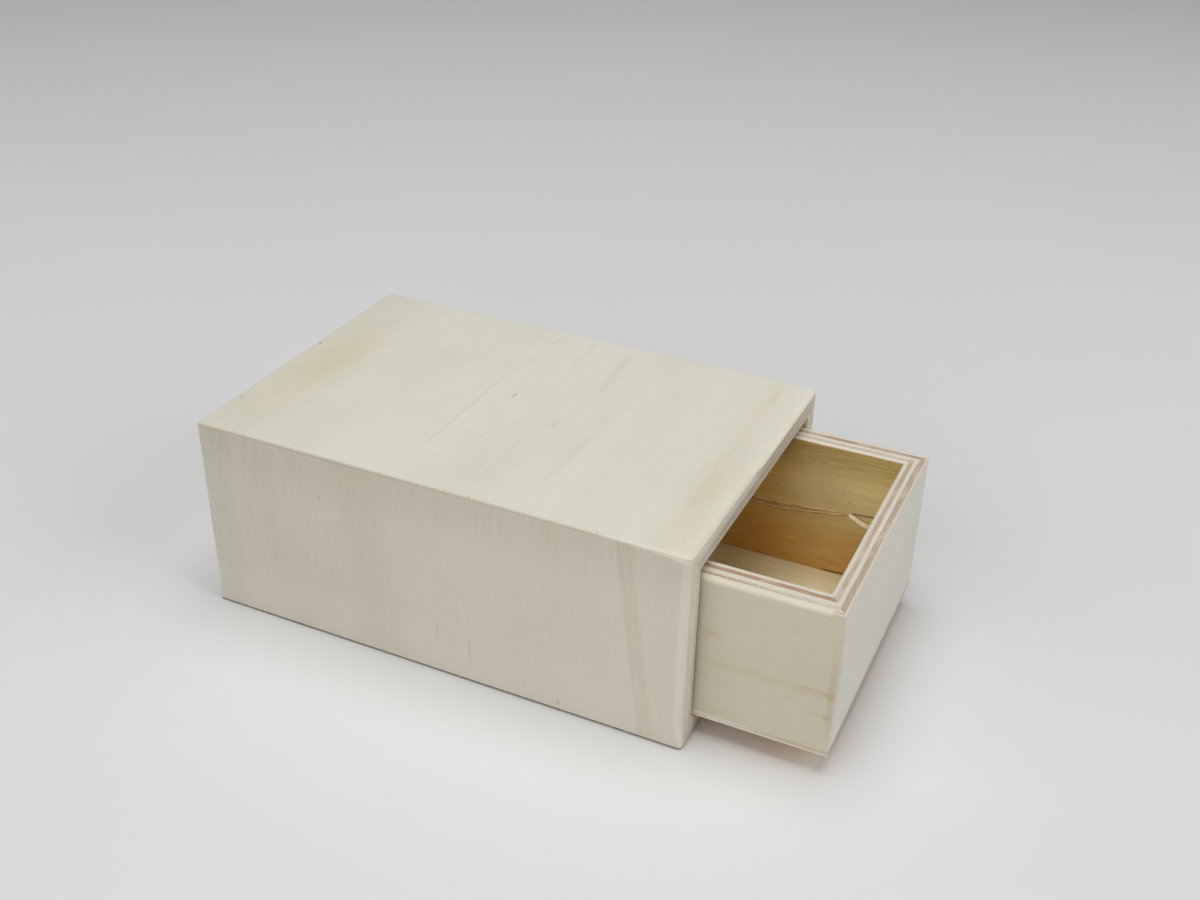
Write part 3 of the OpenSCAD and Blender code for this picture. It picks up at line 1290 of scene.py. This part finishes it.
    def right_marks(self) -> tuple[Mark, ...]:
        """Lists the marks on the inner face of the right wall.

        Returns:
            The painted amber shade, a high band, a pale band, painted warm shade in a low band, the painted
            shadow of the splinter and of the crack that it left, fine scratches, a pin hole, painted shade
            in the gap above the board and the torn strips' painted shadows.
        """
        x = self.high.x - self.side_ply
        shadows = tuple(mark for sliver in SLIVERS for mark in sliver.shadow(x))
        return (
            self.painted_amber_shade(x),
            Mark((x, -60, 46), (56, 12), "#ac8c4c", 0.75, core=(0.7, 0.2), reach=0.2),
            Mark((x, -84, 31), (28, 9), "#efe0b4", 0.35, core=(0.4, 0.1)),
            # Painted shade: the lower wall warmer and darker, where it lies in shade warmed by light bounced
            # off the board
            Mark((x, -77, 11), (34, 18), "#dc8f24", 0.62, core=(0.4, 0.15), reach=0.2),
            Mark((x, -85.2, 25.5), (4.2, 1.1), "#8f5a1a", 0.60, tilt=-23.3),
            # Painted shadow: the dark line under the crack's proud upper edge
            Mark((x, -85.2, 27.4), (3.6, 0.42), "#5f3a12", 0.85, tilt=3.8, core=(0.8, 0.2)),
            Mark((x, -86, 29.35), (3.2, 0.3), "#e2d4a6", 0.65, tilt=5),
            Mark((x, -79.9, 32.3), (1.8, 0.3), "#dcc692", 0.55),
            Mark((x, -87.9, 34.2), (1.6, 0.3), "#dcc692", 0.55),
            Mark((x, -88.6, 32.4), (1.6, 0.3), "#dcc692", 0.55),
            Mark((x, -73, 38.0), (4.0, 0.3), "#dcc692", 0.35),
            Mark((x, -81.4, 30.45), (0.35, 0.3), "#59390f", 0.9),
            # Painted shade: the dark gap above the board
            Mark((x, -79.3, 7.8), (4.6, 0.4), "#50340f", 0.75, tilt=4.3, core=(0.5, 0.2)),
        ) + shadows


# The torn veneer

# Faces across a lifted piece of veneer
VENEER_ROWS = 5


def lifted_veneer(name: str, segments: int, thickness: float, place: Callable[[float, float], Vector]
                  ) -> bpy.types.Object:
    """Makes a closed piece of veneer.

    Args:
        name: name of the object.
        segments: how many faces lie along it.
        thickness: thickness of the veneer.
        place: gives a point's place from its shares of the piece's length and width.
    Returns:
        The piece.
    """
    bm = bmesh.new()
    bmesh.ops.create_grid(bm, x_segments=segments, y_segments=VENEER_ROWS, size=0.5)
    for vert in bm.verts:
        vert.co = place(vert.co.x + 0.5, vert.co.y + 0.5)
    bmesh.ops.recalc_face_normals(bm, faces=bm.faces)
    bmesh.ops.solidify(bm, geom=bm.faces, thickness=-thickness)
    bmesh.ops.recalc_face_normals(bm, faces=bm.faces)
    return finish_mesh(bm, name)


@dataclass(frozen=True)
class Sliver:
    """A strip of the right wall's inner veneer that has lifted off between two cracks.

    Its line lists places along the wall with the heights of its lower and upper edge there, and
    each edge stands off by its lift. Both fade to nothing over the strip's first and last
    stretch. Swell is the mean and the swing of the lift along the strip.
    """

    name: str
    line: tuple[Triple, ...]
    lower_lift: float
    upper_lift: float
    shade: float
    clearance: float = 0.03
    first_stretch: float = 3.0
    last_stretch: float = 6.0
    raggedness: float = 0.12
    ragged_length: float = 0.9
    swell: Pair = (0.75, 0.5)
    swell_length: float = 4.0
    face_length: float = 0.5
    shadow_tone: str = "#5f3c14"
    shadow_drop: float = 0.2
    shadow_half_width: float = 0.34
    shadow_overlap: float = 0.5
    shadow_core: Pair = (0.8, 0.3)

    def heights(self, y: float) -> tuple[float, ...]:
        """Gives how high both edges lie at a place along the wall.

        Args:
            y: the place.
        Returns:
            The heights of the lower and the upper edge.
        """
        for (start, *before), (end, *after) in zip(self.line, self.line[1:]):
            if y <= end:
                share = (y - start) / (end - start)
                return tuple(a + (b - a) * share for a, b in zip(before, after))
        return self.line[-1][1:]

    def place(self, face: float, along: float, up: float) -> Vector:
        """Places a point of the strip.

        Args:
            face: where the wall's inner face lies along X.
            along: share of the strip's length.
            up: share of its width.
        Returns:
            The point in millimetres.
        """
        start, end = self.line[0][0], self.line[-1][0]
        y = start + along * (end - start)
        low, high = self.heights(y)
        low += self.raggedness * wander(Vector((y, 0, 0)), self.ragged_length, shift=4)
        mean, swing = self.swell
        lift = mean + swing * wander(Vector((y, 0, 0)), self.swell_length, shift=3)
        lift *= self.lower_lift + (self.upper_lift - self.lower_lift) * up
        fade = smoothstep(0, self.first_stretch, y - start) * smoothstep(0, self.last_stretch, end - y)
        return Vector((face - self.clearance - lift * fade, y, low + (high - low) * up))

    def build(self, face: float, thickness: float) -> bpy.types.Object:
        """Makes the strip on the wall's inner face, out of veneer of a thickness."""
        segments = round((self.line[-1][0] - self.line[0][0]) / self.face_length)
        return lifted_veneer(self.name, segments, thickness, partial(self.place, face))

    def shadow(self, face: float) -> tuple[Mark, ...]:
        """Paints the shadow that the lower edge casts on the wall.

        Args:
            face: where the wall's inner face lies along X.
        Returns:
            The marks that do it, one for each stretch of the edge.
        """
        marks = []
        for (y, z, _), (next_y, next_z, _) in zip(self.line, self.line[1:]):
            along, up = next_y - y, next_z - z
            middle = (face, y + along / 2, z + up / 2 - self.shadow_drop)
            half = (math.hypot(along, up) / 2 + self.shadow_overlap, self.shadow_half_width)
            marks.append(Mark(middle, half, self.shadow_tone, self.shade,
                              tilt=-math.degrees(math.atan2(up, along)), core=self.shadow_core))
        return tuple(marks)


SLIVERS = (
    Sliver("torn_veneer_strip",
           ((-81, 26.5, 26.8), (-75, 25.5, 26.1), (-70, 24.7, 25.3), (-65, 23.8, 24.4), (-60, 23.5, 24.0),
            (-52, 24.4, 24.8), (-40, 24.0, 24.3)), 0.55, 0.10, 0.8),
    Sliver("torn_veneer_thread",
           ((-79, 26.6, 26.8), (-75, 26.4, 26.8), (-70, 25.8, 26.2), (-64, 25.4, 25.9), (-60, 24.9, 25.3),
            (-52, 25.1, 25.4)), 0.40, 0.05, 0.35),
)


@dataclass
class TornVeneer:
    """The inner veneer of the drawer's right side, cracked along its grain and lifted.

    Narrow strips have lifted between cracks, and near the front a splinter stands off. It bends
    off the wall up to a share of its length, and its edges are frayed.
    """

    root: Pair = (-89.5, 24.2)
    tip: Pair = (-81.95, 27.85)
    root_width: float = 1.3
    tip_width: float = 0.5
    root_gap: float = 0.5
    stand_off: float = 1.2
    bent_share: float = 0.7
    twist: float = 0.8
    bow: float = -0.2
    fraying: float = 0.25
    fray_count: float = 7.0
    fray_length: float = 0.8
    segments: int = 30
    thickness: float = 0.22

    def __post_init__(self) -> None:
        """Finds the wall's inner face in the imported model."""
        self.face = node_box("drawer_right_side")[0].x

    def splinter_place(self, along: float, across: float) -> Vector:
        """Places a point of the splinter.

        Args:
            along: share of its length, from the root.
            across: share of its width.
        Returns:
            The point in millimetres.
        """
        root, tip = Vector((0, *self.root)), Vector((0, *self.tip))
        over = X.cross((tip - root).normalized())
        side = across - 0.5
        width = self.root_width + (self.tip_width - self.root_width) * along
        frayed = Vector((along * self.fray_count, side, 0))
        width *= 1 + self.fraying * wander(frayed, self.fray_length, shift=6)
        place = root.lerp(tip, along) + over * side * width
        place.z += self.bow * math.sin(along * math.pi)
        curl = self.root_gap + self.stand_off * smoothstep(0, self.bent_share, along) - self.twist * side
        return Vector((self.face - curl, place.y, place.z))

    def build(self) -> list[bpy.types.Object]:
        """Builds and dresses the strips and the splinter.

        Returns:
            The finished pieces.
        """
        strips = [sliver.build(self.face, self.thickness) for sliver in SLIVERS]
        aged = TornFibreMaterial("torn_poplar_veneer_aged", "#c79a55", "#ecd4a4").build()
        fresh = TornFibreMaterial("torn_poplar_veneer_fresh", "#ead2ac", "#f6ecd8").build()
        splinter = lifted_veneer("torn_veneer_splinter", self.segments, self.thickness, self.splinter_place)
        pieces = [(piece, aged) for piece in strips] + [(splinter, fresh)]
        for piece, finish in pieces:
            piece.data.materials.append(finish)
            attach(piece, Body.DRAWER.value)
            log.info("%s: %d faces", piece.name, len(piece.data.polygons))
        return [piece for piece, _ in pieces]


@dataclass(frozen=True)
class TornFibreMaterial:
    """Poplar veneer torn along its grain, paler the fresher the tear.

    That gives the eye a dry and stringy wood without any gloss. Its strings are drawn a few
    tenths of a millimetre wide, coarser than real fibres, so that they show.
    """

    name: str
    dark_tone: str
    pale_tone: str
    string_size: Triple = (0.4, 6.0, 0.35)
    layers: float = 3.0
    dark_to_pale: Pair = (0.35, 0.6)
    roughness: float = 0.85
    specular: float = 0.2
    nap_strength: float = 0.8
    nap_height: float = 0.08

    def build(self) -> bpy.types.Material:
        """Builds the nodes.

        Returns:
            The finished material.
        """
        material = empty_material(self.name)
        tree = material.node_tree
        space = add_node(tree, "Mapping", {"Vector": add_node(tree, "TexCoord", output="Object"),
                                           "Scale": [1 / (s * MM) for s in self.string_size]})
        strings = add_node(tree, "TexNoise", {"Vector": space, "Scale": 1.0, "Detail": self.layers}, "Fac")
        colour = add_node(tree, "ValToRGB", {0: strings}, "Color")
        for stop, place, code in zip(colour.node.color_ramp.elements, self.dark_to_pale,
                                     (self.dark_tone, self.pale_tone)):
            stop.position, stop.color = place, linear(code)
        napped_wood(tree, colour, self.roughness, self.specular, strings, self.nap_strength, self.nap_height)
        return material


# The studio


@dataclass(frozen=True)
class Lamp:
    """A round soft light: its place in millimetres, its power in watts and its width."""

    name: str
    at: Triple
    power: float
    width: float = 1200.0


@dataclass
class Studio:
    """A pale floor, soft light from above and the camera at the photograph's angle.

    The haze above the horizon has faded out at haze_height, where 1 is straight up.
    """

    floor_size: float = 6000.0
    floor_tone: str = "#e2e2e2"
    floor_dimmest: float = 0.97
    floor_clouds: float = 9.0
    floor_layers: float = 2.0
    floor_roughness: float = 0.9
    floor_specular: float = 0.1
    sky_tone: str = "#ffffff"
    sky_strength: float = 0.015
    haze_strength: float = 0.30
    haze_height: float = 0.12
    lamps: tuple[Lamp, ...] = (
        Lamp("ceiling_light", (0, -20, 1500), 13.2),
        Lamp("window_light", (-1300, -20, 800), 6.6),
        Lamp("rear_window_light", (-920, 900, 800), 4.0),
        Lamp("front_fill", (0, -1300, 800), 8.0),
    )
    lamp_aim: Triple = (0, -20, 0)
    camera_at: Triple = (-271.75, -147.49, 222.67)
    camera_ahead: Triple = (0.7843, 0.35746, -0.50704)
    camera_right: Triple = (0.42473, -0.90513, 0.01887)
    lens: float = 41.35
    sensor_width: float = 36.0
    sight: Pair = (10.0, 20000.0)

    def card(self) -> bpy.types.Material:
        """Dresses the floor: matt white card, pressed smooth and uncoated.

        Returns:
            The material, which gives the eye a soft even ground that mirrors nothing.
        """
        material = empty_material("matt_white_card")
        tree = material.node_tree
        cloud = add_node(tree, "TexNoise", {
            "Vector": add_node(tree, "TexCoord", output="Object"), "Scale": self.floor_clouds,
            "Detail": self.floor_layers}, "Fac")
        base = linear(self.floor_tone)
        dim = tuple(part * self.floor_dimmest for part in base[:3]) + (1.0,)
        tone = add_node(tree, "Mix", {0: cloud, COLOUR_A: dim, COLOUR_B: base}, COLOUR_RESULT,
                        data_type="RGBA")
        shader = add_node(tree, "BsdfPrincipled", {
            "Base Color": tone, "Roughness": self.floor_roughness,
            "Specular IOR Level": self.floor_specular})
        add_node(tree, "OutputMaterial", {"Surface": shader})
        return material

    def floor(self) -> None:
        """Lays the floor."""
        bm = bmesh.new()
        bmesh.ops.create_grid(bm, x_segments=4, y_segments=4, size=self.floor_size / 2)
        made = finish_mesh(bm, "studio_floor")
        made.data.materials.append(self.card())

    def sky(self) -> None:
        """Fills what the lamps leave with even light, and pales the horizon."""
        world = bpy.data.worlds.new("soft_daylight")
        bpy.context.scene.world = world
        world.use_nodes = True
        tree = world.node_tree
        tree.nodes.clear()
        height = add_node(tree, "SeparateXYZ", {0: add_node(tree, "TexCoord", output="Generated")}, 2)
        strength = add_node(tree, "MapRange", span(height, 0.0, self.haze_height, self.haze_strength,
                                                   self.sky_strength))
        light = add_node(tree, "Background", {"Color": linear(self.sky_tone), "Strength": strength})
        add_node(tree, "OutputWorld", {"Surface": light})

    def lights(self) -> None:
        """Hangs the soft lamps."""
        for lamp in self.lamps:
            light = bpy.data.lights.new(lamp.name, "AREA")
            light.shape, light.size, light.energy = "DISK", lamp.width * MM, lamp.power
            made = put_in_scene(lamp.name, light)
            at = Vector(lamp.at)
            made.location = at * MM
            made.rotation_euler = (Vector(self.lamp_aim) - at).to_track_quat("-Z", "Y").to_euler()

    def camera(self) -> None:
        """Sets the camera where the photograph was taken from."""
        data = bpy.data.cameras.new("camera")
        data.lens, data.sensor_width = self.lens, self.sensor_width
        data.clip_start, data.clip_end = (distance * MM for distance in self.sight)
        ahead, right = Vector(self.camera_ahead).normalized(), Vector(self.camera_right)
        right = (right - ahead * right.dot(ahead)).normalized()
        turn = Matrix((right, right.cross(ahead), -ahead)).transposed()
        made = put_in_scene("camera", data)
        made.matrix_world = Matrix.Translation(Vector(self.camera_at) * MM) @ turn.to_4x4()
        bpy.context.scene.camera = made

    def build(self) -> None:
        """Builds the studio and keeps colours as they are."""
        bpy.context.scene.view_settings.view_transform = "Standard"
        self.camera()
        self.floor()
        self.sky()
        self.lights()
        log.info("studio ready")


def main() -> None:
    logging.basicConfig(level=logging.INFO, format="%(name)s: %(message)s")
    Studio().build()
    Case().build()
    Drawer().build()
    TornVeneer().build()


if __name__ == "__main__":
    main()
